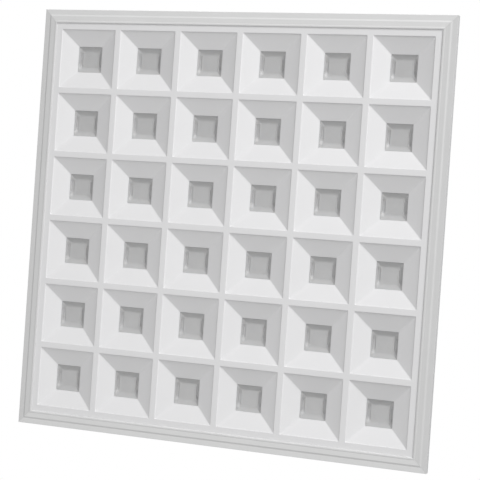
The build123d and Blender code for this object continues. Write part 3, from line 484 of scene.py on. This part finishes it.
def insertHeight(x, y):
    # how high the insert's front lies over the light's lit face, at x, y from its centre:
    # a rim, a cove from it to the floor, a slight crown and a pocket at either side
    look, pocket = lensLook, lensLook["pocket"]
    half, corner = look["insertHalf"], look["corner"]
    x, y = abs(x), abs(y)
    overX, overY = (max(0.0, part - half + corner) for part in (x, y))
    inset = half - max(x, y) if min(overX, overY) <= 0 else corner - math.hypot(overX, overY)
    share = min(1.0, max(0.0, (inset - look["rimWidth"]) / look["coveWidth"]))
    cove = (1 - share) ** look["coveCurve"]
    height = look["floorHeight"] - (look["floorHeight"] - look["rimHeight"]) * cove
    height -= look["crown"] * max(0.0, 1 - (x * x + y * y) / look["crownSpread"])
    edge, endEdge = pocket["edge"], pocket["endEdge"]
    mask = softStep(x, pocket["near"] - edge, pocket["near"] + edge)
    mask *= 1 - softStep(x, pocket["far"] - edge / 2, pocket["far"] + edge / 2)
    mask *= 1 - softStep(y, pocket["reach"] - endEdge, pocket["reach"] + endEdge)
    return height + (pocket["floor"] - height) * mask


def drawnIn(x, y):
    # a point of the square net, with the outline's corners drawn in to their radius
    half, corner = lensLook["insertHalf"], lensLook["corner"]
    overX, overY = (abs(part) - half + corner for part in (x, y))
    if overX <= 0 or overY <= 0:
        return x, y
    pull = max(overX, overY) / math.hypot(overX, overY)
    return (math.copysign(half - corner + overX * pull, x),
            math.copysign(half - corner + overY * pull, y))


def lensCell(mesh, column, centre, row):
    # one insert's front and sides, and its share of the strip's plate
    look = lensLook
    half, steps, last = look["insertHalf"], look["steps"], look["cells"] - 1
    low, high = look["plateHeights"]
    plateX, plateY = look["plateHalf"]
    points = []
    for j in range(steps + 1):
        line = []
        for i in range(steps + 1):
            x, y = drawnIn(half * (2 * i / steps - 1), half * (2 * j / steps - 1))
            line.append(mesh.verts.new((centre + x * mm, row + y * mm,
                                        insertHeight(x, y) * mm)))
        points.append(line)
    for near, far in zip(points, points[1:]):
        for i in range(steps):
            mesh.faces.new((near[i], near[i + 1], far[i + 1], far[i]))
    edge = [line[-1] for line in points[:-1]] + points[-1][:0:-1]
    edge += [line[0] for line in points[:0:-1]] + points[0][:-1]
    border = outerRing(*cellSpan(column, last, centre, look["pitch"], plateX * mm),
                       row - plateY * mm, row + plateY * mm, steps, 0)
    foot = [mesh.verts.new((v.co.x, v.co.y, low * mm)) for v in edge]
    front = [mesh.verts.new((p.x, p.y, low * mm)) for p in border]
    back = [mesh.verts.new((p.x, p.y, high * mm)) for p in border]
    size = len(edge)
    for i in range(size):
        j = (i + 1) % size
        mesh.faces.new((edge[i], edge[j], foot[j], foot[i]))
        mesh.faces.new((foot[i], foot[j], front[j], front[i]))
        # the plate has no wall where the next cell's share goes on
        shared = (column < last and i < steps) or (column > 0 and 2 * steps <= i < 3 * steps)
        if not shared:
            mesh.faces.new((front[i], front[j], back[j], back[i]))
    mesh.faces.new(back)


def lensStrip(number):
    look = lensLook
    count, pitch = look["cells"], look["pitch"]
    mesh = bmesh.new()
    for column in range(count):
        lensCell(mesh, column, (column - (count - 1) / 2) * pitch,
                 (number - (count + 1) / 2) * pitch)
    bmesh.ops.remove_doubles(mesh, verts=mesh.verts, dist=weldDistance)
    strip = finishMesh(mesh, "lensStrip.%d" % number, "opalLens", look["sharpAngle"])
    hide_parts("lens_strip_%d" % number)
    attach(strip, "housing")


for number in range(1, lensLook["cells"] + 1):
    lensStrip(number)
print("lens strips made")


# carried-over pieces: a finish by the start of the node's name, and the width in mm of the
# small round on its edges

carriedLook = {
    "back_pan": ("panCoat", 0.35), "wiring_box": ("panCoat", 0.3),
    "box_ends": ("panCoat", 0.3), "box_cover": ("panCoat", 0.3),
    "hanger_tabs": ("panCoat", 0.25), "tab_rivets": ("rivetAluminium", 0.15),
    "tee_clip": ("zincSpring", 0.2), "clip_rivets": ("rivetAluminium", 0.15),
    "corner_keys": ("naturalNylon", 0.3), "corner_grub_screws": ("platedSteel", 0.15),
    "pan_screws": ("platedSteel", 0.2), "box_rivets": ("rivetAluminium", 0.15),
    "hinge_pins": ("platedSteel", 0.15), "cover_screw": ("platedSteel", 0.2),
    "led_board": ("boardMask", 0.1), "led_packages": ("phosphorYellow", 0.1),
    "board_screws": ("platedSteel", 0.15), "board_connectors": ("whiteNylon", 0.15),
    "spacer_posts": ("whiteNylon", 0.3), "post_screws": ("platedSteel", 0.2),
    "led_driver": ("driverCase", 0.8), "driver_screws": ("platedSteel", 0.2),
    "terminal_block": ("terminalGrey", 0.25), "release_button": ("buttonOrange", 0.25),
    "gland_body": ("glandGrey", 0.25), "gland_dome_nut": ("glandGrey", 0.3),
    "gland_locknut": ("glandGrey", 0.25), "blanking_plugs": ("glandGrey", 0.3),
    "grommet": ("blackRubber", 0.3), "earth_screw": ("brassPlate", 0.2),
    "jumper_wires": ("leadRed", 0), "supply_lead": ("leadBlack", 0),
    "mains_leads": ("leadBrown", 0), "earth_lead": ("leadGreen", 0),
}
edgeRound = {"segments": 2, "sharpAngle": 32}
for name, node in nodes.items():
    if node.hide_render:
        continue
    start = max((key for key in carriedLook if name.startswith(key)), key=len)
    finish, width = carriedLook[start]
    node.data.materials.clear()
    node.data.materials.append(finishes[finish])
    weld = node.modifiers.new("weld", "WELD")
    weld.merge_threshold = weldDistance
    if width > 0:
        rounded = node.modifiers.new("edgeRound", "BEVEL")
        rounded.width = width * mm
        rounded.segments = edgeRound["segments"]
        rounded.limit_method = "ANGLE"
        rounded.angle_limit = math.radians(edgeRound["sharpAngle"])
        rounded.use_clamp_overlap = True
    node.modifiers.new("evenShading", "WEIGHTED_NORMAL").keep_sharp = True
print("carried-over pieces finished")


# studio: a plain floor far below, three soft lamps and the photograph's camera. The key lamp
# stands low at the front right and lights the rails and cells, the fill lamp lifts what it
# leaves dark, and the top lamp lights the back

studioLook = {
    "floorHeight": -2.9,
    "floorHalf": 9.0,
    "floorSteps": 24,
    "floorColour": (0.80, 0.80, 0.79),
    "floorShade": 0.985,
    "floorCloud": 0.6,
    "floorRough": 0.9,
    "ambient": 0.25,
    "lampSpread": 110.0,  # degrees: the key lamp's light stays off the floor behind the part
    "keyLamp": {"place": (2.45, -2.81, -1.88), "size": 2.1, "power": 51.5},
    "fillLamp": {"place": (-0.5, 0.7, -2.2), "size": 1.6, "power": 5.4},
    "topLamp": {"place": (-1.2, -1.6, 2.6), "size": 2.0, "power": 24.5},
    "lens": 99.9225,
    "sensor": 36,
    "farthest": 60,
    "cameraPlace": (0.614563, -0.007403, -1.711696),
    "cameraTurn": (-0.00030606, 0.98546400, -0.03517305, 0.16620307),
}


def studioFloor():
    look = studioLook
    mesh = bmesh.new()
    half, steps = look["floorHalf"], look["floorSteps"]
    grid = [[mesh.verts.new((half * (2 * i / steps - 1), half * (2 * j / steps - 1),
                             look["floorHeight"]))
             for j in range(steps + 1)] for i in range(steps + 1)]
    for near, far in zip(grid, grid[1:]):
        for j in range(steps):
            mesh.faces.new((near[j], far[j], far[j + 1], near[j + 1]))
    data = bpy.data.meshes.new("studioFloor")
    mesh.to_mesh(data)
    mesh.free()
    finish, tree, shader, place = startFinish("floorPaint")
    cloud = noiseOf(tree, place, look["floorCloud"], detail=3.0)
    dark = tint(look["floorColour"], look["floorShade"])
    tree.links.new(colourRamp(tree, cloud, dark, look["floorColour"]),
                   shader.inputs["Base Color"])
    shader.inputs["Roughness"].default_value = look["floorRough"]
    data.materials.append(finish)
    floor = bpy.data.objects.new("studioFloor", data)
    bpy.context.scene.collection.objects.link(floor)


def softLamp(name):
    look = studioLook[name]
    data = bpy.data.lights.new(name, "AREA")
    data.shape = "DISK"
    data.size = look["size"]
    data.energy = look["power"]
    data.spread = math.radians(studioLook["lampSpread"])
    lamp = bpy.data.objects.new(name, data)
    lamp.location = look["place"]
    lamp.rotation_euler = (-Vector(look["place"])).to_track_quat("-Z", "Y").to_euler()
    bpy.context.scene.collection.objects.link(lamp)


def studioSky():
    # white where the camera, a reflection or clear plastic sees it, and soft light elsewhere
    world = bpy.data.worlds.new("studioSky")
    world.use_nodes = True
    bpy.context.scene.world = world
    tree = world.node_tree
    back = tree.nodes["Background"]
    rays = tree.nodes.new("ShaderNodeLightPath")
    seen = tree.nodes.new("ShaderNodeMath")
    seen.operation = "MAXIMUM"
    tree.links.new(rays.outputs["Is Camera Ray"], seen.inputs[0])
    through = tree.nodes.new("ShaderNodeMath")
    through.operation = "MAXIMUM"
    tree.links.new(rays.outputs["Is Glossy Ray"], through.inputs[0])
    tree.links.new(rays.outputs["Is Transmission Ray"], through.inputs[1])
    tree.links.new(through.outputs["Value"], seen.inputs[1])
    back.inputs["Color"].default_value = (1, 1, 1, 1)
    tree.links.new(rangeOf(tree, seen.outputs["Value"], studioLook["ambient"], 1.0, 0, 1),
                   back.inputs["Strength"])


def photoCamera():
    look = studioLook
    data = bpy.data.cameras.new("photoCamera")
    data.lens = look["lens"]
    data.sensor_width = look["sensor"]
    data.clip_end = look["farthest"]
    camera = bpy.data.objects.new("photoCamera", data)
    camera.location = look["cameraPlace"]
    camera.rotation_euler = Quaternion(look["cameraTurn"]).to_euler()
    bpy.context.scene.collection.objects.link(camera)
    bpy.context.scene.camera = camera


studioFloor()
for lampName in ("keyLamp", "fillLamp", "topLamp"):
    softLamp(lampName)
studioSky()
photoCamera()
bpy.context.scene.view_settings.view_transform = "Standard"
print("studio set")
